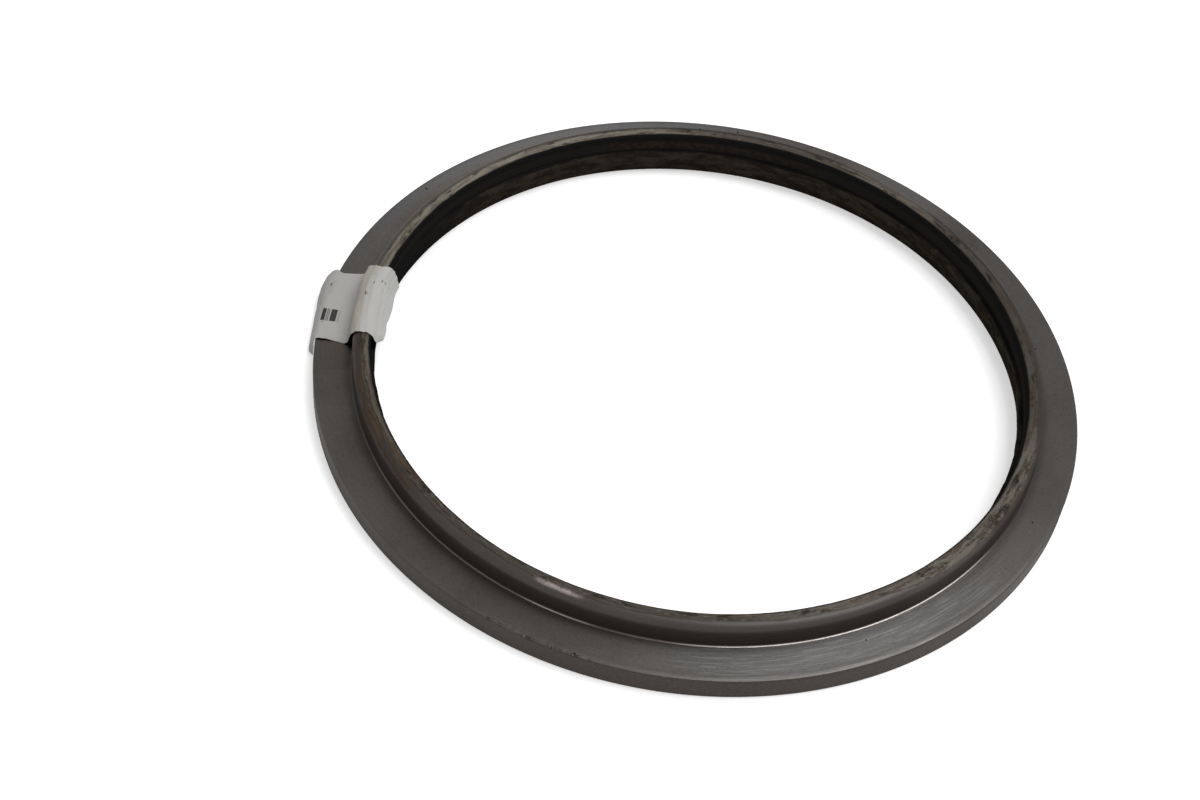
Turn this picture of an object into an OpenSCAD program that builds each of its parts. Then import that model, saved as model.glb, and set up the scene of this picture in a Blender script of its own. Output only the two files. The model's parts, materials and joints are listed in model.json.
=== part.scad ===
// Backup ring: a turned steel ring with an L-shaped section, lying on its underside at z = 0
// and centred on the Z axis. A flat flange runs round the outside and a short collar stands up
// at its inner edge, with a rounded outer shoulder and a rounded lip. The bore is stepped: its
// upper part is a little wider, and below the step's ledge a rough land flares towards the
// underside. A square paper stock label is folded over the section at the -X side. Sizes are in
// millimetres.

/* [Bore] */
// Diameter of the bore at its narrowest, below the step
bore_d = 252.6; // [200:0.1:320]
// Height of the straight stretch below the step's ledge
straight_h = 3; // [1.5:0.1:6]
// Widening of the land from the straight stretch down to the underside
flare_w = 2.4; // [0.5:0.1:3.4]
// Width of the step's ledge
step_w = 1.7; // [0.6:0.1:3]
// Height of the step's ledge above the flange's upper face
ledge_rise = 2; // [0.5:0.1:5]
// Radius of the rounded lip at the bore's upper edge
lip_r = 1; // [0.3:0.1:1.5]

/* [Collar] */
// Thickness of the collar's wall above the step
collar_t = 7; // [6.5:0.1:10]
// Height of the collar above the flange
collar_h = 10.4; // [9:0.1:14]
// Radius of the collar's rounded outer shoulder
shoulder_r = 3; // [1:0.1:4]
// Radius of the fillet at the collar's foot
foot_r = 0.7; // [0.3:0.1:3]

/* [Flange] */
// Width of the flange outside the collar
flange_w = 15; // [12:0.5:25]
// Thickness of the flange
flange_t = 9.6; // [8:0.1:13]
// Width of the chamfers on the rim's two edges
rim_chamfer = 0.5; // [0.1:0.1:1.5]

/* [Paper label] */
// Width of the label along the rim
label_w = 40; // [20:1:60]
// Thickness of the label's paper
label_t = 0.15; // [0.1:0.01:0.4]
// Thickness of the adhesive between the label and the ring
glue_t = 0.05; // [0.02:0.01:0.1]
// Radius of the label's curve across the collar's foot
label_foot_r = 5; // [3.5:0.1:8]
// Length of the label that hangs down the rim, at its middle
outer_flap = 6.2; // [3:0.1:6.5]
// Length of the label that hangs down inside the bore, at its middle
inner_flap = 5.4; // [3.5:0.1:8]
// Turn of the label away from the radial direction, in degrees
label_skew = 8; // [0:1:10]

/* [Hidden] */

$fn = 240;

bore_r = bore_d / 2;
step_r = bore_r + step_w;
collar_r = step_r + collar_t;
flange_r = collar_r + flange_w;
ring_h = flange_t + collar_h;
ledge_z = flange_t + ledge_rise;
collar_mid_r = (step_r + collar_r) / 2;

// The label turns about the middle of the flange's upper face.
label_x = -(flange_r + collar_r) / 2;
// A 45 degree chamfer on an outline that grows by 1 widens by this much.
chamfer_growth = 2 - sqrt(2);
// Room by which a shape passes the faces that it cuts or joins.
over = 1;

// What a round of radius r takes off a square corner at [r, r].
module corner_off(r) {
  difference() {
    square(r + over);
    circle(r);
  }
}

// What fills a square inner corner at the origin with a fillet of radius r.
module corner_fill(r) {
  difference() {
    translate([-over, -over])
      square(r + over);
    translate([r, r])
      circle(r);
  }
}

// The flange's half section from the collar's middle to the rim, grown outwards.
module flange_outline(grow) {
  rim = flange_r + grow;
  top = flange_t + grow;
  chamfer = rim_chamfer + grow * chamfer_growth;
  polygon([
    [collar_mid_r, 0],
    [rim - chamfer, 0],
    [rim, chamfer],
    [rim, top - chamfer],
    [rim - chamfer, top],
    [collar_mid_r, top]
  ]);
}

// The collar's half section above the middle of the flange, grown outwards. A foot fillet of
// radius foot, where nothing is grown, joins it to the flange.
module collar_outline(grow, foot) {
  wall = collar_r + grow;
  top = ring_h + grow;
  hole = step_r - grow;
  shoulder = shoulder_r + grow;
  lip = lip_r + grow;
  difference() {
    translate([hole, flange_t / 2])
      square([wall - hole, top - flange_t / 2]);
    translate([wall - shoulder, top - shoulder])
      corner_off(shoulder);
    translate([hole + lip, top - lip])
      mirror([1, 0])
        corner_off(lip);
  }
  translate([wall, flange_t + grow])
    corner_fill(foot - grow);
}

// The land's half section below the step, from the collar's middle inwards.
module land_outline() {
  polygon([
    [bore_r + flare_w, 0],
    [collar_mid_r + over, 0],
    [collar_mid_r + over, ledge_z],
    [bore_r, ledge_z],
    [bore_r, ledge_z - straight_h]
  ]);
}

// The steel ring, turned as one piece.
module ring() {
  color([0.33, 0.31, 0.29])
    rotate_extrude() {
      flange_outline(0);
      collar_outline(0, foot_r);
      land_outline();
    }
}

// The half section that the label lies on, grown outwards.
module label_base(grow) {
  flange_outline(grow);
  collar_outline(grow, label_foot_r);
}

// A sheet of the label's thickness that follows the section from the rim round to the ledge.
module label_sheet() {
  rotate_extrude()
    difference() {
      label_base(glue_t + label_t);
      label_base(glue_t);
      translate([bore_r, 0])
        square([step_w, ledge_z + glue_t]);
    }
}

// The space above a plane that slopes along the label's width and meets its middle at height z.
module above_slope(z, slope) {
  translate([0, 0, z])
    rotate([slope, 0, 0])
      translate([0, -label_w, 0])
        cube([flange_r + over, 2 * label_w, 2 * ring_h]);
}

// The paper label: a square of the sheet, turned a little, with a free flap at each end.
module paper_label() {
  color([0.70, 0.70, 0.68])
    intersection() {
      label_sheet();
      translate([label_x, 0, 0])
        rotate(-label_skew)
          translate([-label_w, -label_w / 2, 0])
            cube([2 * label_w, label_w, 2 * ring_h]);
      union() {
        translate([-collar_mid_r - flange_r, 0, 0])
          above_slope(flange_t - outer_flap, label_skew);
        translate([-collar_mid_r, 0, 0])
          above_slope(ring_h - inner_flap, -label_skew);
      }
    }
}

ring();
paper_label();
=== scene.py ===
import json
import math

import bmesh
import bpy
from mathutils import Matrix, Vector, noise


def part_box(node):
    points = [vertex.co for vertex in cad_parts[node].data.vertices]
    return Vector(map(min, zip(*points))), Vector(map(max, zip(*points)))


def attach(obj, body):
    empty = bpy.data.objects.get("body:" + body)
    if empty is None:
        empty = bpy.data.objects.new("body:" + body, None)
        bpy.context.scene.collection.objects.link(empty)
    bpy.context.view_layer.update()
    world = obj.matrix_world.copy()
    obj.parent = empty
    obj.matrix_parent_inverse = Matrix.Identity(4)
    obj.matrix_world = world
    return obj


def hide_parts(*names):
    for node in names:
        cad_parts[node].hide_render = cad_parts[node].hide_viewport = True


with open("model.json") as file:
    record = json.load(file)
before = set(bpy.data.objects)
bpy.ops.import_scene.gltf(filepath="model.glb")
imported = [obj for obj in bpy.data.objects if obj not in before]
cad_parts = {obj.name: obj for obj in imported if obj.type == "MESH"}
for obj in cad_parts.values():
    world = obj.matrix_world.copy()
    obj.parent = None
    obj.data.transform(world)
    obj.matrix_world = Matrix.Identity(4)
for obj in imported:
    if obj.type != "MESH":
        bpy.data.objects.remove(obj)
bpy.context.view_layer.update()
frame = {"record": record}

# Camera
# It looks down on the ring at about 46 degrees, a little rolled, from 0.83 m away. The centre of
# the ring's underside falls right of the middle of the 1200 by 800 picture.
picture_w = 1200
picture_h = 800
focal_px = 2086.6
sensor_mm = 36
camera_elevation = math.radians(45.99)
camera_roll = math.radians(-9.72)
camera_distance = 0.8277
ring_centre_px = (695.2, 383.5)

look = Vector((0, math.cos(camera_elevation), -math.sin(camera_elevation)))
centre_ray = Vector((
    (ring_centre_px[0] - picture_w / 2) / focal_px,
    (picture_h / 2 - ring_centre_px[1]) / focal_px,
    -1,
))
aim = look.to_track_quat("-Z", "Y").to_matrix()
roll = Matrix.Rotation(-camera_roll, 3, "Z")
off_centre = Vector((0, 0, -1)).rotation_difference(centre_ray).to_matrix()
bpy.ops.object.camera_add()
camera = bpy.context.object
camera.name = "camera"
camera.matrix_world = Matrix.Translation(-look * camera_distance) @ (
    aim @ roll @ off_centre.transposed()
).to_4x4()
camera.data.sensor_width = sensor_mm
camera.data.lens = focal_px / picture_w * sensor_mm
camera.data.clip_start = 0.01
bpy.context.scene.camera = camera

# Steel ring
# One forged blank turned on a lathe to an L-shaped section: a flat flange, a short collar with a
# rounded shoulder, and a bore with a step. The collar's top and the flared land below the step
# keep the rough forged skin. It lies loose on its underside.
mm = 0.001
mounts = {mount["name"]: mount for mount in frame["record"]["mounts"]}
bore_r = mounts["bore"]["dims"]["r_mm"] * mm
straight_h = mounts["bore"]["dims"]["length_mm"] * mm
flange_r = mounts["rim"]["dims"]["r_mm"] * mm
ring_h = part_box("ring")[1].z
flange_t = 9.6 * mm
ledge_z = 11.6 * mm
flare_z = ledge_z - straight_h
flare_w = 2.4 * mm
step_r = bore_r + 1.7 * mm
collar_r = step_r + 7 * mm
rim_chamfer = 0.5 * mm
foot_r = 0.7 * mm
shoulder_r = 3 * mm
lip_r = 1 * mm
ledge_edge_r = 0.4 * mm
ledge_corner_r = 0.3 * mm
under_chamfer = 0.3 * mm
spin_steps = 1024
close = 0.01 * mm


def pick(piece, wanted):
    """Selects, in edit mode, the points whose place is wanted and what lies between them."""
    mesh = bmesh.from_edit_mesh(piece.data)
    for point in mesh.verts:
        point.select_set(bool(wanted(point.co)))
    mesh.select_flush(True)
    mesh.select_flush(False)
    bmesh.update_edit_mesh(piece.data)


def at(r, z):
    """A test for the section's corner at radius r and height z."""
    return lambda co: abs(co.x - r) < close and abs(co.z - z) < close


def along(r0, z0, r1, z1):
    """A test for the section's points in the box from (r0, z0) to (r1, z1)."""
    return lambda co: (
        min(r0, r1) - close < co.x < max(r0, r1) + close
        and min(z0, z1) - close < co.z < max(z0, z1) + close
    )


def cut_section(place, normal):
    """Cuts the whole section along a straight line."""
    bpy.ops.mesh.select_all(action="SELECT")
    bpy.ops.mesh.bisect(plane_co=place, plane_no=normal)


def draw_up(rise):
    """Extrudes the picked edge of the section upwards."""
    bpy.ops.mesh.extrude_region_move(TRANSFORM_OT_translate={"value": (0, 0, rise)})


# The half section starts as the flange's rectangle. Its inner end is drawn up to the step's
# ledge, the land's lower corner is flared, and the collar is drawn up outside the ledge.
bpy.ops.object.select_all(action="DESELECT")
bpy.ops.mesh.primitive_plane_add(size=1, rotation=(math.pi / 2, 0, 0))
ring = bpy.context.object
ring.name = "turned_ring"
ring.data.name = "turned_ring"
ring.scale = (flange_r - bore_r, flange_t, 1)
ring.location = ((flange_r + bore_r) / 2, 0, flange_t / 2)
bpy.ops.object.transform_apply(location=True, rotation=True, scale=True)
bpy.ops.object.mode_set(mode="EDIT")
bpy.ops.mesh.select_mode(type="VERT")
cut_section((collar_r, 0, 0), (1, 0, 0))
pick(ring, along(bore_r, flange_t, collar_r, flange_t))
draw_up(ledge_z - flange_t)
cut_section((0, 0, flare_z), (0, 0, 1))
pick(ring, at(bore_r, 0))
bpy.ops.transform.translate(value=(flare_w, 0, 0))
cut_section((step_r, 0, 0), (1, 0, 0))
pick(ring, along(step_r, ledge_z, collar_r, ledge_z))
draw_up(ring_h - ledge_z)
bpy.ops.mesh.select_all(action="SELECT")
bpy.ops.mesh.dissolve_limited(angle_limit=math.radians(1))
# Each corner gets its chamfer or its round: radius, height, size and number of segments.
corners = [
    (bore_r + flare_w, 0, under_chamfer, 1),
    (flange_r, 0, rim_chamfer, 1),
    (flange_r, flange_t, rim_chamfer, 2),
    (collar_r, flange_t, foot_r, 6),
    (collar_r, ring_h, shoulder_r, 10),
    (step_r, ring_h, lip_r, 6),
    (step_r, ledge_z, ledge_corner_r, 2),
    (bore_r, ledge_z, ledge_edge_r, 3),
]
for r, z, size, segments in corners:
    pick(ring, at(r, z))
    bpy.ops.mesh.bevel(offset=size, segments=segments, profile=0.5, affect="VERTICES")
bpy.ops.mesh.select_all(action="SELECT")
bpy.ops.mesh.delete(type="ONLY_FACE")
# Each stretch between two corners gets more points, closest together where it is rough, and the
# section is turned round the axis.
stretches = [
    (bore_r, under_chamfer / 2, bore_r + flare_w, flare_z, 12),
    (bore_r, flare_z, bore_r, ledge_z - ledge_edge_r, 4),
    (bore_r + ledge_edge_r, ledge_z, step_r - ledge_corner_r, ledge_z, 1),
    (step_r, ledge_z + ledge_corner_r, step_r, ring_h - lip_r, 6),
    (step_r + lip_r, ring_h, collar_r - shoulder_r, ring_h, 5),
    (collar_r, flange_t + foot_r, collar_r, ring_h - shoulder_r, 5),
    (collar_r + foot_r, flange_t, flange_r - rim_chamfer, flange_t, 8),
    (flange_r, rim_chamfer, flange_r, flange_t - rim_chamfer, 5),
    (bore_r + flare_w + under_chamfer, 0, flange_r - rim_chamfer, 0, 5),
]
for r0, z0, r1, z1, cuts in stretches:
    pick(ring, along(r0, z0, r1, z1))
    bpy.ops.mesh.subdivide(number_cuts=cuts)
bpy.ops.object.mode_set(mode="OBJECT")
turn = ring.modifiers.new("turn", "SCREW")
turn.axis = "Z"
turn.angle = 2 * math.pi
turn.steps = spin_steps
turn.render_steps = spin_steps
turn.use_merge_vertices = True
turn.merge_threshold = close
bpy.ops.object.modifier_apply(modifier=turn.name)
bpy.ops.object.mode_set(mode="EDIT")
bpy.ops.mesh.select_all(action="SELECT")
bpy.ops.mesh.remove_doubles(threshold=close)
bpy.ops.mesh.normals_make_consistent(inside=False)
bpy.ops.object.mode_set(mode="OBJECT")

# The forged skin: coarse waves and fine lumps on the collar's top and the bore's land. The lip is
# worn down a little beside the scrape, and a row of small nicks dents the rim's upper edge.
forged_edge_r = step_r + 4.0 * mm
forged_edge_soft = 1.5 * mm
forged_depth = 1.2 * mm
forged_soft = 0.5 * mm
forged_strength = 0.5
land_soft = 2 * mm
worn_edge_r = step_r + 3.5 * mm
worn_soft = 2.5 * mm
worn_azimuth = math.radians(260)
worn_spread = math.radians(32)
nick_azimuth = math.radians(254.5)
nick_spread = math.radians(9)


def share_of(value):
    """A value held between 0 and 1."""
    return min(max(value, 0), 1)


def top_share(co):
    """How far a point lies in the forged skin of the collar's top."""
    r = math.hypot(co.x, co.y)
    on_top = (co.z - (ring_h - forged_depth)) / forged_soft
    inside_edge = (forged_edge_r - r) / forged_edge_soft
    return forged_strength * share_of(min(on_top, inside_edge))


def worn_share(co):
    """How far a point lies on the worn stretch of the lip."""
    r = math.hypot(co.x, co.y)
    on_top = (co.z - (ring_h - forged_depth)) / forged_soft
    inside_edge = (worn_edge_r - r) / worn_soft
    azimuth = math.atan2(co.y, co.x) % (2 * math.pi)
    near = 2 * (1 - abs(azimuth - worn_azimuth) / worn_spread)
    return share_of(on_top) * share_of(inside_edge) * share_of(near)


def land_share(co):
    """How far a point lies in the forged skin of the land, its upper edge with it."""
    r = math.hypot(co.x, co.y)
    inside = r < step_r - ledge_corner_r - close or co.z < flare_z
    if co.z > ledge_z + close or r > bore_r + flare_w or not inside:
        return 0.0
    return share_of((co.z - under_chamfer) / land_soft)


def nick_share(co):
    """How far a point lies on the nicked stretch of the rim's upper edge."""
    r = math.hypot(co.x, co.y)
    if r + co.z < flange_r + flange_t - rim_chamfer - close:
        return 0.0
    azimuth = math.atan2(co.y, co.x) % (2 * math.pi)
    return share_of(2 * (1 - abs(azimuth - nick_azimuth) / nick_spread))


# Each relief has a name, a share by place, the size of its lumps, a height and a middle level.
relief = [
    ("worn_lip", worn_share, 30 * mm, 0.3 * mm, 1.8),
    ("forged_top", top_share, 13 * mm, 0.35 * mm, 0.5),
    ("forged_land", land_share, 13 * mm, 1.1 * mm, 0.5),
    ("fine_top", top_share, 2.4 * mm, 0.20 * mm, 0.5),
    ("fine_land", land_share, 2.4 * mm, 0.18 * mm, 0.5),
    ("rim_nicks", nick_share, 1.6 * mm, -0.5 * mm, 0.45),
]
for name, share_at, size, height, level in relief:
    group = ring.vertex_groups.new(name=name)
    for point in ring.data.vertices:
        share = share_at(point.co)
        if share > 0:
            group.add([point.index], share, "REPLACE")
    pattern = bpy.data.textures.new(name, "CLOUDS")
    pattern.noise_scale = size
    pattern.noise_depth = 2
    displace = ring.modifiers.new(name, "DISPLACE")
    displace.texture = pattern
    displace.texture_coords = "LOCAL"
    displace.vertex_group = group.name
    displace.strength = height
    displace.mid_level = level
for name, share_at, size, height, level in relief:
    bpy.ops.object.modifier_apply(modifier=name)
bpy.ops.object.shade_smooth_by_angle(angle=math.radians(35))


def add(tree, kind, inputs=None, **settings):
    """Adds a node, sets its settings, and links or sets its inputs by name or place."""
    node = tree.nodes.new(kind)
    for name, value in settings.items():
        setattr(node, name, value)
    for key, value in (inputs or {}).items():
        if isinstance(value, bpy.types.NodeSocket):
            tree.links.new(value, node.inputs[key])
        else:
            node.inputs[key].default_value = value
    return node


def calc(tree, operation, a, b=0.0):
    """One step of arithmetic on two values."""
    return add(tree, "ShaderNodeMath", {0: a, 1: b}, operation=operation).outputs[0]


def times(tree, first, *others):
    """The product of several values."""
    for other in others:
        first = calc(tree, "MULTIPLY", first, other)
    return first


def ramp(tree, value, low, high, start=0.0, end=1.0):
    """A soft step from start to end as value goes from low to high."""
    node = add(
        tree,
        "ShaderNodeMapRange",
        {"Value": value, "From Min": low, "From Max": high, "To Min": start, "To Max": end},
        interpolation_type="SMOOTHSTEP",
    )
    return node.outputs["Result"]


def band(tree, value, low, high, soft):
    """1 between low and high and 0 outside, with soft sides."""
    return times(
        tree,
        ramp(tree, value, low - soft, low + soft),
        ramp(tree, value, high + soft, high - soft),
    )


def blend(tree, share, a, b):
    """A mix of two colours."""
    node = add(tree, "ShaderNodeMix", data_type="RGBA")
    for key, value in ((0, share), (6, a), (7, b)):
        if isinstance(value, bpy.types.NodeSocket):
            tree.links.new(value, node.inputs[key])
        else:
            node.inputs[key].default_value = value if key == 0 else (*value, 1.0)
    return node.outputs[2]


def cloud(tree, vector, scale, detail=3.0, roughness=0.55):
    """A noise value from 0 to 1."""
    node = add(
        tree,
        "ShaderNodeTexNoise",
        {"Vector": vector, "Scale": scale, "Detail": detail, "Roughness": roughness},
    )
    return node.outputs["Fac"]


# Turned steel: satin warm grey with fine marks that run round the axis, brownish stains and a few
# dark pits, with painted sheen, painted highlights and painted shade. The collar's wall is darker
# with painted shade and the rim is darker, the top is beige and brown scale with a painted sheen at
# the back left, and the bore is black with a brown land.
steel_grey = (0.160, 0.146, 0.134)
steel_brown = (0.134, 0.115, 0.102)
# Painted sheen tones and painted highlight greys for the flange, then a dark brown for grain and painted
# shade.
sheen_grey = (0.118, 0.118, 0.117)
cool_sheen_grey = (0.146, 0.146, 0.148)
steel_gleam = (0.25, 0.244, 0.24)
sheen_arc_grey = (0.27, 0.268, 0.265)
dark_brown_and_shade = (0.056, 0.047, 0.041)
rim_brown = (0.058, 0.048, 0.042)
rim_grey = (0.075, 0.065, 0.058)
# Painted highlight and painted shade colours for the fillet at the collar's foot and the shoulder at the
# back.
fillet_highlight = (0.52, 0.48, 0.455)
fillet_dim_highlight = (0.24, 0.19, 0.165)
painted_dark_shade = (0.030, 0.026, 0.023)
# Scale colours; the beige also carries a painted sheen and the olive a painted gleam.
beige_scale_and_sheen = (0.206, 0.191, 0.153)
scale_grey = (0.092, 0.082, 0.071)
olive_scale_and_gleam = (0.162, 0.148, 0.124)
scale_brown = (0.070, 0.048, 0.036)
scale_dark = (0.024, 0.019, 0.016)
scale_pale = (0.285, 0.270, 0.235)
scrape_pale = (0.46, 0.40, 0.37)
rust_brown = (0.040, 0.030, 0.023)
rust_orange = (0.115, 0.074, 0.045)
bore_black = (0.0105, 0.0102, 0.0102)
bore_grey = (0.0155, 0.0142, 0.0128)
bore_red = (0.030, 0.019, 0.0145)
land_brown = (0.036, 0.0295, 0.022)
land_dark = (0.016, 0.013, 0.010)

steel = bpy.data.materials.new("turned_steel")
steel.use_nodes = True
tree = steel.node_tree
surface = tree.nodes["Principled BSDF"]
place = add(tree, "ShaderNodeTexCoord").outputs["Object"]
xyz = add(tree, "ShaderNodeSeparateXYZ", {0: place})
flat_place = add(tree, "ShaderNodeCombineXYZ", {0: xyz.outputs[0], 1: xyz.outputs[1]}).outputs[0]
radius = add(tree, "ShaderNodeVectorMath", {0: flat_place}, operation="LENGTH").outputs["Value"]
round_dir = add(tree, "ShaderNodeVectorMath", {0: flat_place}, operation="NORMALIZE").outputs[0]
height = xyz.outputs[2]
across = calc(tree, "ADD", radius, height)
heading = add(tree, "ShaderNodeSeparateXYZ", {0: round_dir})


def round_vector(tree, per_turn, per_metre):
    """A vector for noise that is long round the ring and short across it."""
    return add(
        tree,
        "ShaderNodeCombineXYZ",
        {
            0: calc(tree, "MULTIPLY", heading.outputs[0], per_turn),
            1: calc(tree, "MULTIPLY", heading.outputs[1], per_turn),
            2: calc(tree, "MULTIPLY", across, per_metre),
        },
    ).outputs[0]


def near_azimuth(tree, degrees, full, none):
    """1 within full degrees of an azimuth, 0 beyond none degrees of it."""
    angle = math.radians(degrees)
    facing = add(
        tree,
        "ShaderNodeVectorMath",
        {0: round_dir, 1: (math.cos(angle), math.sin(angle), 0)},
        operation="DOT_PRODUCT",
    ).outputs["Value"]
    return ramp(tree, facing, math.cos(math.radians(none)), math.cos(math.radians(full)))


marks = cloud(tree, round_vector(tree, 9.0, 1700.0), 1.0, 2.0, 0.6)
streaks = cloud(tree, round_vector(tree, 9.0, 1500.0), 1.0, 3.0, 0.75)
stain = cloud(tree, place, 34.0, 4.0)
grain = cloud(tree, place, 1500.0, 2.0, 0.7)
lumps = cloud(tree, place, 420.0, 5.0, 0.65)
flecks = cloud(tree, round_vector(tree, 45.0, 1500.0), 1.0, 3.0, 0.6)
patches = cloud(tree, round_vector(tree, 14.0, 330.0), 1.0, 4.0, 0.6)
long_streaks = cloud(tree, round_vector(tree, 11.0, 800.0), 1.0, 3.0, 0.6)
nicks = cloud(tree, round_vector(tree, 110.0, 900.0), 1.0, 3.0, 0.7)
ragged = calc(tree, "SUBTRACT", patches, 0.5)
# Where the forged skin lies, with a ragged edge, and where the bore's wall and its land lie.
wider = times(tree, near_azimuth(tree, 332, 14, 26), -1.8 * mm)
edge_wave = times(tree, ragged, ramp(tree, near_azimuth(tree, 115, 50, 85), 0.0, 1.0, 3.0 * mm, 1.2 * mm))
top_edge = calc(tree, "ADD", calc(tree, "ADD", radius, wider), edge_wave)
top_skin = times(
    tree,
    ramp(tree, top_edge, forged_edge_r + 0.9 * mm, forged_edge_r - 0.7 * mm),
    ramp(tree, height, ring_h - 1.6 * mm, ring_h - 1.0 * mm),
)
lip_edge = calc(tree, "ADD", radius, times(tree, ragged, 1.0 * mm))
in_bore = ramp(tree, lip_edge, step_r + 0.85 * mm, step_r + 0.65 * mm)
lip_line = times(
    tree,
    band(tree, lip_edge, step_r + 0.85 * mm, step_r + 1.05 * mm, 0.15 * mm),
    ramp(tree, height, ring_h - 1.0 * mm, ring_h - 0.6 * mm),
)
land_skin = times(tree, in_bore, ramp(tree, height, ledge_z + 0.1 * mm, ledge_z - 0.1 * mm))
skin = calc(tree, "MAXIMUM", top_skin, land_skin)
# The turned faces: the flange, with painted sheen tones, painted highlight arcs and painted shade where
# the lathe sheen lies; the rim; the collar's wall with painted shade; and its foot with a painted
# highlight line.
# Painted sheen tone: the flange turns a neutral grey at the front right, where the lathe sheen lies.
shine = near_azimuth(tree, 299, 13, 36)
turned = blend(tree, ramp(tree, stain, 0.35, 0.7), steel_grey, steel_brown)
turned = blend(tree, times(tree, shine, 0.85), turned, sheen_grey)
# Painted sheen tone: the flange's outer edge turns a cool grey at the back left, where the second lobe of
# the sheen lies.
cool_edge = ramp(tree, radius, flange_r - 8.0 * mm, flange_r - 3.0 * mm, 0.0, 0.8)
turned = blend(tree, times(tree, near_azimuth(tree, 128, 28, 52), cool_edge), turned, cool_sheen_grey)
# Painted highlight: a bright gleam on the flange at the back right.
back_gleam = near_azimuth(tree, 60, 4, 13)
turned = blend(tree, times(tree, back_gleam, 0.5), turned, steel_gleam)
turned = blend(tree, ramp(tree, grain, 0.5, 0.72, 0.0, 0.4), turned, dark_brown_and_shade)
on_flange = ramp(tree, height, flange_t + 0.3 * mm, flange_t + 0.1 * mm)
# The turning marks are real, but here they are painted as bright arcs only within the sheen, as painted
# highlights.
arc_share = ramp(tree, shine, 0.0, 1.0, 0.05, 0.38)
sheen_arcs = times(tree, on_flange, ramp(tree, streaks, 0.48, 0.64), arc_share)
turned = blend(tree, sheen_arcs, turned, sheen_arc_grey)
# Painted shade: within the sheen the flange darkens towards the rim, which narrows the sheen.
rim_sheen_shade = times(tree, shine, ramp(tree, radius, flange_r - 6.0 * mm, flange_r - 1.0 * mm, 0.0, 0.35))
turned = blend(tree, rim_sheen_shade, turned, dark_brown_and_shade)
on_rim = ramp(tree, radius, flange_r - 0.25 * mm, flange_r - 0.1 * mm, 0.0, 0.95)
rim = blend(tree, ramp(tree, grain, 0.38, 0.62), rim_brown, rim_grey)
turned = blend(tree, on_rim, turned, rim)
# Painted shade: the flange darkens towards the collar's foot, in the corner between them.
foot_shade = ramp(tree, radius, collar_r + 4.5 * mm, collar_r + 0.6 * mm, 0.0, 0.4)
turned = blend(tree, foot_shade, turned, dark_brown_and_shade)
on_collar = ramp(tree, height, flange_t + 0.4 * mm, flange_t + 0.8 * mm)
# Painted shade on the collar's wall: dark near its foot and lighter towards the shoulder, darker still at
# the right, the back and the left, and lighter at the front right as painted light.
wall_shade_share = ramp(tree, height, flange_t + 5.6 * mm, ring_h - 0.6 * mm, 0.98, 0.32)
back_wall_shade = times(tree, near_azimuth(tree, 45, 60, 105), ramp(tree, back_gleam, 0.0, 1.0, 0.65, 0.1))
left_wall_shade = times(tree, near_azimuth(tree, 202, 14, 32), 0.25)
lit_share = times(tree, near_azimuth(tree, 320, 4, 12), -0.55)
for share in (back_wall_shade, left_wall_shade, lit_share):
    wall_shade_share = calc(tree, "ADD", wall_shade_share, share)
wall_shade_share = calc(tree, "MINIMUM", wall_shade_share, 1.0)
turned = blend(tree, times(tree, on_collar, wall_shade_share), turned, dark_brown_and_shade)
# Painted shade on the collar's shoulder at the back.
back_shoulder_shade = times(tree, on_collar, near_azimuth(tree, 84, 10, 24), 0.5)
turned = blend(tree, back_shoulder_shade, turned, painted_dark_shade)
# A painted highlight line along the fillet at the collar's foot: dimmer beige at the front, bright at the
# front right and at one spot at the front left, with painted shade on it at the right.
at_foot = times(
    tree,
    band(tree, radius, collar_r + 0.2 * mm, collar_r + 0.55 * mm, 0.1 * mm),
    ramp(tree, height, flange_t + 0.7 * mm, flange_t + 0.4 * mm),
)
dim_fillet_highlight = times(tree, at_foot, near_azimuth(tree, 270, 45, 65), ramp(tree, patches, 0.3, 0.55, 0.4, 0.9))
fillet_gleam = calc(tree, "MAXIMUM", near_azimuth(tree, 255, 2, 7), near_azimuth(tree, 301, 20, 30))
fillet_highlight_share = times(tree, at_foot, fillet_gleam, ramp(tree, patches, 0.3, 0.55, 0.6, 1.0))
fillet_shade = times(tree, at_foot, near_azimuth(tree, 5, 25, 40), 0.8)
turned = blend(tree, dim_fillet_highlight, turned, fillet_dim_highlight)
turned = blend(tree, fillet_highlight_share, turned, fillet_highlight)
turned = blend(tree, fillet_shade, turned, painted_dark_shade)
nicked = times(
    tree,
    near_azimuth(tree, math.degrees(nick_azimuth), 7.0, 9.0),
    band(tree, across, flange_r + flange_t - 0.8 * mm, flange_r + flange_t - 0.4 * mm, 0.12 * mm),
    ramp(tree, nicks, 0.5, 0.58, 0.0, 0.85),
)
turned = blend(tree, nicked, turned, scale_dark)
scraped = times(
    tree,
    near_azimuth(tree, 254.8, 1.6, 4.6),
    band(tree, radius, step_r + 3.9 * mm, step_r + 5.4 * mm, 0.6 * mm),
    ramp(tree, lumps, 0.40, 0.58, 0.25, 0.9),
)
# The collar's top: long streaks of scale, beige at the back left with a painted sheen there, olive
# at the right with a painted olive gleam at the back right, and brown at the left, with pale flecks
# and dark cracks.
# Beige scale at the back left, painted lighter there as a painted sheen.
back_left_sheen = near_azimuth(tree, 147, 15, 60)
beads = cloud(tree, place, 950.0, 2.0, 0.6)
scale = blend(tree, back_left_sheen, scale_grey, beige_scale_and_sheen)
scale = blend(tree, times(tree, back_left_sheen, ramp(tree, beads, 0.48, 0.62, 0.0, 0.5)), scale, scale_pale)
scale = blend(tree, times(tree, near_azimuth(tree, 303, 8, 20), 0.45), scale, olive_scale_and_gleam)
scale = blend(tree, near_azimuth(tree, 331, 14, 27), scale, olive_scale_and_gleam)
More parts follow.
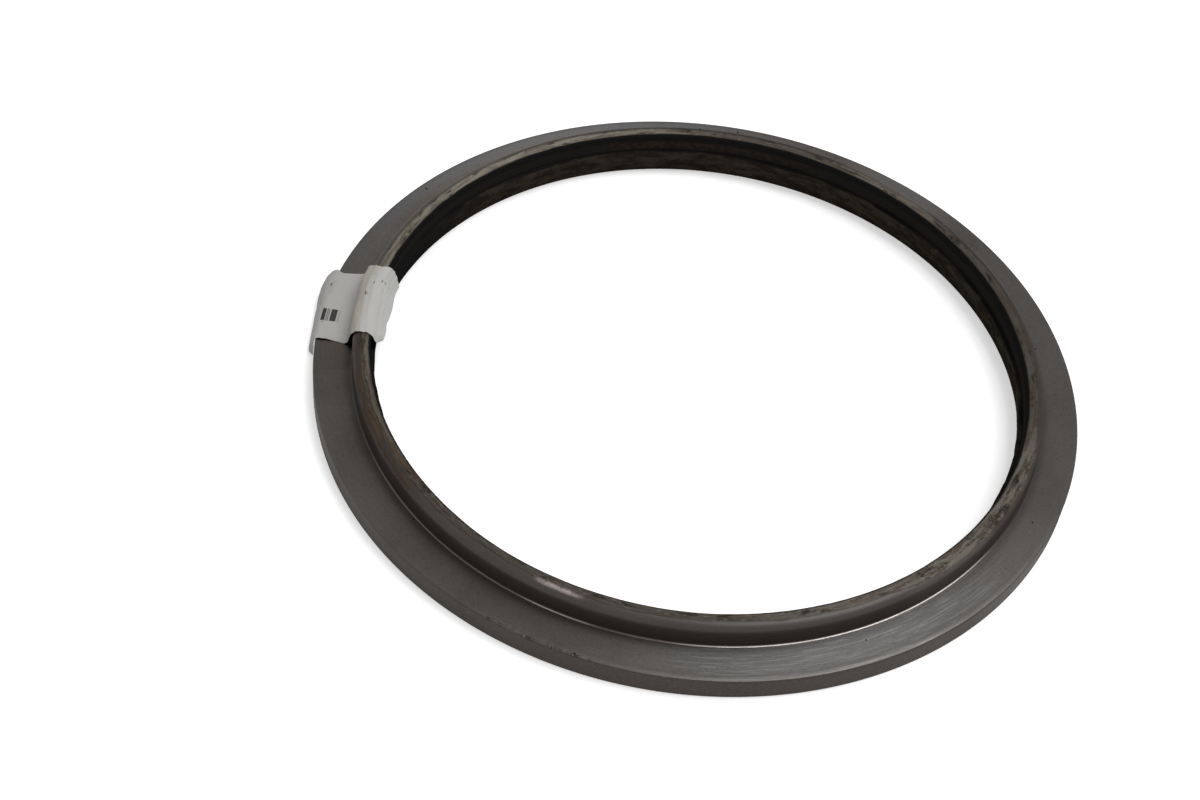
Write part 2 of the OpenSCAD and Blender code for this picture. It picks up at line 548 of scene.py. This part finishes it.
# Painted highlight: an olive gleam on the top at the back right.
scale = blend(tree, times(tree, near_azimuth(tree, 60, 6, 16), 0.9), scale, olive_scale_and_gleam)
brown_share = ramp(tree, near_azimuth(tree, 205, 14, 40), 0.0, 1.0, 0.6, 0.85)
scale = blend(tree, times(tree, ramp(tree, long_streaks, 0.42, 0.62), brown_share), scale, scale_brown)
scale = blend(tree, ramp(tree, patches, 0.52, 0.66, 0.0, 0.85), scale, scale_dark)
fleck_share = ramp(tree, near_azimuth(tree, 18, 32, 55), 0.0, 1.0, 0.4, 0.15)
scale = blend(tree, times(tree, ramp(tree, flecks, 0.54, 0.70), fleck_share), scale, scale_pale)
crack = calc(tree, "ABSOLUTE", calc(tree, "SUBTRACT", cloud(tree, place, 330.0, 4.0, 0.7), 0.5))
cracks = times(
    tree,
    ramp(tree, crack, 0.025, 0.008),
    near_azimuth(tree, 332, 14, 28),
    ramp(tree, long_streaks, 0.44, 0.52, 0.0, 0.8),
)
scale = blend(tree, cracks, scale, scale_dark)
left_ridge = times(
    tree,
    near_azimuth(tree, 197, 13, 26),
    band(tree, top_edge, step_r + 1.0 * mm, step_r + 2.1 * mm, 0.6 * mm),
    ramp(tree, long_streaks, 0.38, 0.58, 0.85, 0.4),
)
ridge_line = times(
    tree,
    near_azimuth(tree, 196, 10, 22),
    band(tree, top_edge, step_r + 2.5 * mm, step_r + 2.9 * mm, 0.3 * mm),
    0.75,
)
scale = blend(tree, left_ridge, scale, olive_scale_and_gleam)
scale = blend(tree, ridge_line, scale, scale_dark)
rust_height = ramp(tree, height, ring_h - 4.0 * mm, ring_h - 2.0 * mm)
rust = times(
    tree,
    near_azimuth(tree, 207, 12, 24),
    band(tree, radius, step_r + 3.2 * mm, collar_r, 0.9 * mm),
    ramp(tree, long_streaks, 0.34, 0.64, 0.25, 0.8),
    rust_height,
)
rust_specks = times(
    tree,
    near_azimuth(tree, 212, 9, 20),
    band(tree, radius, step_r + 1.4 * mm, step_r + 5.6 * mm, 0.8 * mm),
    ramp(tree, long_streaks, 0.47, 0.60, 0.0, 0.7),
    rust_height,
)
top_line = times(
    tree,
    band(tree, top_edge, forged_edge_r - 0.1 * mm, forged_edge_r + 0.3 * mm, 0.25 * mm),
    ramp(tree, height, ring_h - 1.6 * mm, ring_h - 1.0 * mm, 0.0, 0.35),
)
colour = blend(tree, top_skin, turned, scale)
colour = blend(tree, top_line, colour, scale_dark)
colour = blend(tree, rust, colour, rust_brown)
colour = blend(tree, rust_specks, colour, rust_orange)
colour = blend(tree, scraped, colour, scrape_pale)
colour = blend(tree, lip_line, colour, scale_brown)
# The bore: black below the lip, dark grey with reddish patches above the ledge, a brown land,
# with painted shade along the ledge and on the land at the left.
black_edge = calc(tree, "ADD", height, times(tree, ragged, 4.0 * mm))
wall = blend(tree, ramp(tree, black_edge, 16.0 * mm, 17.4 * mm), bore_grey, bore_black)
red_patches = times(
    tree,
    near_azimuth(tree, 95, 14, 24),
    band(tree, height, ledge_z + 1.2 * mm, 16.2 * mm, 0.8 * mm),
    ramp(tree, lumps, 0.45, 0.6),
)
wall = blend(tree, red_patches, wall, bore_red)
# Painted shade: a black line at the corner of the ledge.
ledge_shade_line = band(tree, height, ledge_z - 0.1 * mm, ledge_z + 0.7 * mm, 0.2 * mm)
wall = blend(tree, ledge_shade_line, wall, bore_black)
land_tone = calc(tree, "ADD", times(tree, patches, 0.65), times(tree, lumps, 0.35))
land = blend(tree, ramp(tree, land_tone, 0.40, 0.62), land_dark, land_brown)
# Painted shade: the land is black at the left, where the light falls on it.
land = blend(tree, near_azimuth(tree, 180, 10, 42), land, bore_black)
colour = blend(tree, in_bore, colour, blend(tree, land_skin, wall, land))
# A few dark pits on the flange's upper face.
pit_cells = add(
    tree,
    "ShaderNodeTexVoronoi",
    {"Vector": place, "Scale": 120.0, "Randomness": 1.0},
    voronoi_dimensions="2D",
)
pit_chance = add(tree, "ShaderNodeSeparateColor", {0: pit_cells.outputs["Color"]}).outputs[0]
pit_size = ramp(tree, pit_chance, 0.86, 1.0, 0.0, 0.065)
pits = calc(tree, "LESS_THAN", pit_cells.outputs["Distance"], pit_size)
pits = times(tree, pits, band(tree, height, flange_t - 0.2 * mm, flange_t + 0.07 * mm, 0.03 * mm))
colour = blend(tree, pits, colour, scale_dark)
tree.links.new(colour, surface.inputs["Base Color"])
# Gloss and fine relief: scaly and dirty faces are less metallic, the bore isn't metallic at all,
# and the turned faces shine across the marks that run round the axis.
dull = calc(tree, "MAXIMUM", calc(tree, "MAXIMUM", top_skin, on_collar), on_rim)
# Less metallic still on the collar's wall and the rim at the back and the right, as painted shade that
# darkens them there.
grazed = calc(tree, "MAXIMUM", near_azimuth(tree, 92, 30, 60), near_azimuth(tree, 2, 14, 32))
grazed = times(tree, grazed, calc(tree, "MAXIMUM", on_collar, on_rim), ramp(tree, top_skin, 1.0, 0.0))
metal = times(
    tree,
    ramp(tree, dull, 0.0, 1.0, 1.0, 0.5),
    ramp(tree, grazed, 0.0, 1.0, 1.0, 0.3),
    ramp(tree, in_bore, 0.0, 1.0, 1.0, 0.0),
)
tree.links.new(metal, surface.inputs["Metallic"])
rough = ramp(tree, calc(tree, "MAXIMUM", skin, in_bore), 0.0, 1.0, 0.40, 0.66)
rough = calc(tree, "ADD", rough, times(tree, calc(tree, "SUBTRACT", stain, 0.5), 0.16))
tree.links.new(rough, surface.inputs["Roughness"])
surface.inputs["Specular IOR Level"].default_value = 0.0
surface.inputs["Anisotropic"].default_value = 0.72
surface.inputs["Anisotropic Rotation"].default_value = 0.25
tangent = add(tree, "ShaderNodeTangent", direction_type="RADIAL", axis="Z").outputs[0]
tree.links.new(tangent, surface.inputs["Tangent"])
mark_height = calc(tree, "ADD", times(tree, marks, 0.7), times(tree, grain, 0.45))
skin_height = calc(tree, "ADD", times(tree, lumps, 1.6), times(tree, long_streaks, 2.0))
bump_height = add(tree, "ShaderNodeMix", {0: skin, 2: mark_height, 3: skin_height}).outputs[0]
bump = add(
    tree, "ShaderNodeBump", {"Strength": 0.5, "Distance": 0.06 * mm, "Height": bump_height}
)
tree.links.new(bump.outputs[0], surface.inputs["Normal"])
ring.data.materials.clear()
ring.data.materials.append(steel)
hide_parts("ring")
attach(ring, "root")

# Paper label
# A nearly square stock label of thin matt paper, stuck on the flange and pressed over the collar.
# One end hangs off the rim and the other into the bore, both loose, bent and a little wavy. Its
# lengths are in millimetres.
label_w = 40
label_l = 44.5
paper_t = 0.12
glue_gap = 0.12
top_gap = 0.45
level_from_bore = 4
rows = 200
columns = 120
rim_edge = (flange_r - rim_chamfer / 2) / mm
flange_top = flange_t / mm
collar_top = ring_h / mm
lip_edge_r = step_r / mm


def ease(low, high, value):
    """A soft step from 0 to 1 as value goes from low to high."""
    t = min(max((value - low) / (high - low), 0), 1)
    return t * t * (3 - 2 * t)


def follow(knots, place):
    """A soft line through knots of (place, value)."""
    result = knots[0][1]
    for (p0, v0), (p1, v1) in zip(knots, knots[1:]):
        result += (v1 - v0) * ease(p0, p1, place)
    return result


# The label's two side edges as y at the distance s inwards from the rim's edge, its two ends as s
# at the distance across the paper, and the angles of the outer flap's two folds at y.
front_edge = [(-10, -20.6), (-1, -20.5), (1.5, -19.7), (5, -19.5), (10, -19.9), (15, -20.6), (21, -22.6)]
back_edge = [
    (-6, 21.6), (-1.5, 20.4), (1.5, 18.2), (12, 19.9), (15.5, 18.4), (21, 15.0), (25, 14.6),
    (33, 16.6), (40, 15.6),
]
outer_end = [(0, -8.8), (2, -9.4), (8, -8.4), (40, -5.6)]
inner_end = [(0, 33.7), (3, 35.6), (12, 36.8), (20, 37.9), (30, 38.3), (40, 39.0)]
first_fold = [(-21, 78), (-18.4, 54), (-10, 52), (0, 44), (8, 27), (12, 20), (17, 20), (21, 32)]
last_fold = [(-21, 92), (-10, 90), (5, 86), (15, 80)]
stuck_s = 1.5


def label_slope(s, y):
    """The slope of the paper's path at s, 0 where it is level and positive where it climbs inwards."""
    if s < stuck_s:
        first = follow(first_fold, y)
        last = follow(last_fold, y)
        fold = first * ease(-1.3, 0.9, -s)
        fold += 0.5 * (last - first) * (ease(0.9, 4.8, -s) + ease(4.8, 9.0, -s))
        return math.radians(fold)
    back = ease(0, 16, y)
    front = ease(-14, -22, y)
    rise = math.radians(76 - back + 2 * front)
    foot_bend = 2.8 - 0.3 * front
    shoulder_bend = 4.0 + 1.5 * back
    bends = foot_bend + shoulder_bend
    climb = collar_top + top_gap - flange_top - glue_gap
    wall = (climb - bends * (1 - math.cos(rise))) / math.sin(rise)
    run = rim_edge - lip_edge_r - level_from_bore - bends * math.sin(rise) - wall * math.cos(rise)
    foot_arc = foot_bend * rise
    shoulder_arc = shoulder_bend * rise
    shoulder_s = run + foot_arc + wall
    lean = math.radians(34 - 15 * back + 14 * ease(-8, -19, y) - 20 * ease(-19, -22.5, y))
    hang = math.pi / 2 - lean
    lip_s = shoulder_s + shoulder_arc + 2.2 + 0.2 * back
    slope = rise * ease(run - 0.15 * foot_arc, run + 1.15 * foot_arc, s)
    slope -= rise * ease(shoulder_s - 0.1 * shoulder_arc, shoulder_s + 1.1 * shoulder_arc, s)
    return slope - hang * ease(lip_s - 0.4, lip_s + 3.0 * hang, s)


def label_wave(s, y):
    """How far the paper stands off its path: flat where it is stuck, wavy at the loose ends."""
    long_wave = noise.noise(Vector((0.09 * s, 0.075 * y, 3.1)))
    crease = abs(noise.noise(Vector((0.5 * s, 0.05 * y, 8.4))))
    fine = noise.noise(Vector((0.7 * s, 0.5 * y, 1.7)))
    loose = max(ease(-1, -7, s), ease(28, 36, s))
    on_collar = ease(17, 21, s)
    lifted = ease(-16, -20.5, y) * ease(7.5, 2, abs(s - 2))
    wave = 0.4 * long_wave * loose
    wave += 0.55 * (0.6 - crease) * on_collar
    wave += 0.05 * fine * (0.3 + on_collar)
    return max(wave, -0.02) + 0.22 * ease(6, 2, s) + 0.4 * lifted


def label_column(t):
    """The paper's lower side from its outer to its inner end, at the share t of its width."""
    first = follow(outer_end, t * label_w)
    step = (follow(inner_end, t * label_w) - first) / rows
    start = round((stuck_s - first) / step)
    places = {}
    for way in (1, -1):
        i = start
        r = rim_edge - first - start * step
        z = flange_top + glue_gap
        while 0 <= i <= rows:
            s = first + i * step
            y = (1 - t) * follow(front_edge, s) + t * follow(back_edge, s)
            y += 0.25 * noise.noise(Vector((0.5 * s, 3 * t, 5.3)))
            slope = label_slope(s, y)
            lift = label_wave(s, y)
            out = r + lift * math.sin(slope)
            up = z + lift * math.cos(slope)
            places[i] = (-math.sqrt(out * out - y * y) * mm, y * mm, up * mm, s)
            ahead = label_slope(s + 0.5 * way * step, y)
            r -= way * step * math.cos(ahead)
            z += way * step * math.sin(ahead)
            i += way
    return [places[i] for i in range(rows + 1)]


points = []
flat_places = []
for j in range(columns + 1):
    for x, y, z, s in label_column(j / columns):
        points.append((x, y, z))
        flat_places.append((s / label_l, j / columns))
faces = []
for j in range(columns):
    for i in range(rows):
        k = j * (rows + 1) + i
        faces.append((k, k + rows + 1, k + rows + 2, k + 1))
paper = bpy.data.meshes.new("stock_label")
paper.from_pydata(points, [], faces)
flat_map = paper.uv_layers.new(name="flat")
for corner in paper.loops:
    flat_map.data[corner.index].uv = flat_places[corner.vertex_index]
label = bpy.data.objects.new("stock_label", paper)
bpy.context.collection.objects.link(label)
bpy.ops.object.select_all(action="DESELECT")
bpy.context.view_layer.objects.active = label
label.select_set(True)
bpy.ops.object.shade_smooth()
thicken = label.modifiers.new("thicken", "SOLIDIFY")
thicken.thickness = paper_t * mm
thicken.offset = 1
bpy.ops.object.modifier_apply(modifier=thicken.name)

paper_white = (0.50, 0.497, 0.48)
paper_shade = (0.42, 0.415, 0.395)
# A brownish stain colour, also used for painted shade at the crease, and greys for painted shade on the
# flap and the flange part.
paper_stain_and_shade = (0.34, 0.30, 0.24)
paper_flap_shade = (0.33, 0.31, 0.315)
paper_flange_shade = (0.36, 0.353, 0.335)
ink = (0.014, 0.0135, 0.013)
printed = bpy.data.materials.new("label_paper")
printed.use_nodes = True
tree = printed.node_tree
surface = tree.nodes["Principled BSDF"]
flat_uv = add(tree, "ShaderNodeUVMap", uv_map="flat").outputs[0]
uv = add(tree, "ShaderNodeSeparateXYZ", {0: flat_uv})
along_mm = calc(tree, "MULTIPLY", uv.outputs[0], label_l)
across_mm = calc(tree, "MULTIPLY", uv.outputs[1], label_w)


def field(tree, s0, s1, y0, y1, strength, soft=0.12):
    """A printed rectangle: s inwards from the rim's edge and y back from the front edge."""
    inside = times(tree, band(tree, along_mm, s0, s1, soft), band(tree, across_mm, y0, y1, soft))
    return times(tree, inside, strength)


# Plain bars and short dashes stand for the print: s from and to, y from and to, and strength. Soft
# stains lie on the collar's part, at the rim and at the front edge, and along the crease at its foot
# lies a brownish stain that is partly painted shade. The part on the flange is a little darker than
# the top as painted shade, and the outer flap is greyer as painted shade.
fields = [
    (0.2, 1.65, 10.6, 17.6, 0.95),
    (2.0, 2.45, 10.6, 17.6, 0.7),
    (2.6, 3.1, 10.6, 17.6, 0.6),
    (3.6, 6.0, 10.6, 17.6, 0.93),
    (6.6, 7.3, 10.6, 17.6, 0.25),
    (0.8, 1.7, 9.6, 10.2, 0.4),
    (-0.9, -0.1, 30.5, 32.1, 0.6),
    (23.4, 23.9, 21.7, 23.7, 0.75),
    (24.3, 24.7, 22.0, 23.2, 0.6),
    (25.4, 26.0, 28.5, 30.1, 0.5),
    (28.1, 28.7, 30.0, 31.4, 0.6),
    (29.7, 30.3, 30.0, 31.4, 0.6),
    (33.0, 33.5, 30.0, 31.4, 0.35),
]
stains_and_shade = [
    (23.3, 24.9, 33.9, 35.5, 0.6, 0.5),
    (21.3, 22.7, 18.6, 20.0, 0.5, 0.5),
    # Along the crease at the collar's foot: a brownish stain with painted shade.
    (13.5, 18.5, -5.0, 45.0, 0.7, 2.0),
    (19.5, 24.0, -5.0, 45.0, 0.45, 1.5),
    (-0.6, 1.2, 26.0, 34.0, 0.5, 1.0),
    (3.0, 14.0, -1.0, 1.5, 0.35, 1.5),
]
print_share = 0.0
for s0, s1, y0, y1, strength in fields:
    print_share = calc(tree, "MAXIMUM", field(tree, s0, s1, y0, y1, strength), print_share)
stain_and_shade_share = 0.0
for s0, s1, y0, y1, strength, soft in stains_and_shade:
    stain_and_shade_share = calc(tree, "MAXIMUM", field(tree, s0, s1, y0, y1, strength, soft), stain_and_shade_share)
fibres = cloud(tree, add(tree, "ShaderNodeTexCoord").outputs["Object"], 900.0, 4.0)
blank = blend(tree, fibres, paper_shade, paper_white)
# Painted shade: the part on the flange is darker than the top.
blank = blend(tree, ramp(tree, along_mm, 27.0, 23.0, 0.0, 0.7), blank, paper_flange_shade)
blank = blend(tree, stain_and_shade_share, blank, paper_stain_and_shade)
# Painted shade: the outer flap, which faces away from the light, is greyer.
blank = blend(tree, ramp(tree, along_mm, -0.5, -3.0, 0.0, 0.7), blank, paper_flap_shade)
tree.links.new(blend(tree, print_share, blank, ink), surface.inputs["Base Color"])
surface.inputs["Roughness"].default_value = 0.75
surface.inputs["Specular IOR Level"].default_value = 0.25
label.data.materials.append(printed)
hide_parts("paper_label")
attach(label, "root")

# Floor
# A wide white sheet under the ring, level with its underside. The camera sees it as white, and
# it keeps the ring's shadow.
floor_size = 8
floor_tone = (0.92, 0.92, 0.92, 1)
floor_lift = 0.42
bpy.ops.object.select_all(action="DESELECT")
bpy.ops.mesh.primitive_plane_add(size=floor_size)
floor = bpy.context.object
floor.name = "floor"
floor_white = bpy.data.materials.new("floor_white")
floor_white.use_nodes = True
tree = floor_white.node_tree
surface = tree.nodes["Principled BSDF"]
surface.inputs["Base Color"].default_value = floor_tone
surface.inputs["Roughness"].default_value = 1.0
surface.inputs["Specular IOR Level"].default_value = 0.0
surface.inputs["Emission Color"].default_value = (1, 1, 1, 1)
rays = add(tree, "ShaderNodeLightPath")
seen = calc(tree, "MAXIMUM", rays.outputs["Is Camera Ray"], rays.outputs["Is Glossy Ray"])
seen = calc(tree, "MAXIMUM", seen, rays.outputs["Is Transmission Ray"])
tree.links.new(calc(tree, "MULTIPLY", seen, floor_lift), surface.inputs["Emission Strength"])
floor.data.materials.append(floor_white)

# Light
# One broad soft light from above and a little to the right, and an even pale surround.
surround_strength = 0.5
light_strength = 1.6
light_spread = math.radians(38)
towards_light = Vector((0.36, 0.12, 0.92))
world = bpy.data.worlds.new("surround")
bpy.context.scene.world = world
world.use_nodes = True
world.node_tree.nodes["Background"].inputs["Color"].default_value = (1, 1, 1, 1)
world.node_tree.nodes["Background"].inputs["Strength"].default_value = surround_strength
bpy.ops.object.light_add(type="SUN", location=towards_light)
sky_light = bpy.context.object
sky_light.name = "sky_light"
sky_light.data.energy = light_strength
sky_light.data.angle = light_spread
sky_light.rotation_euler = towards_light.to_track_quat("Z", "Y").to_euler()

bpy.context.scene.view_settings.view_transform = "Standard"
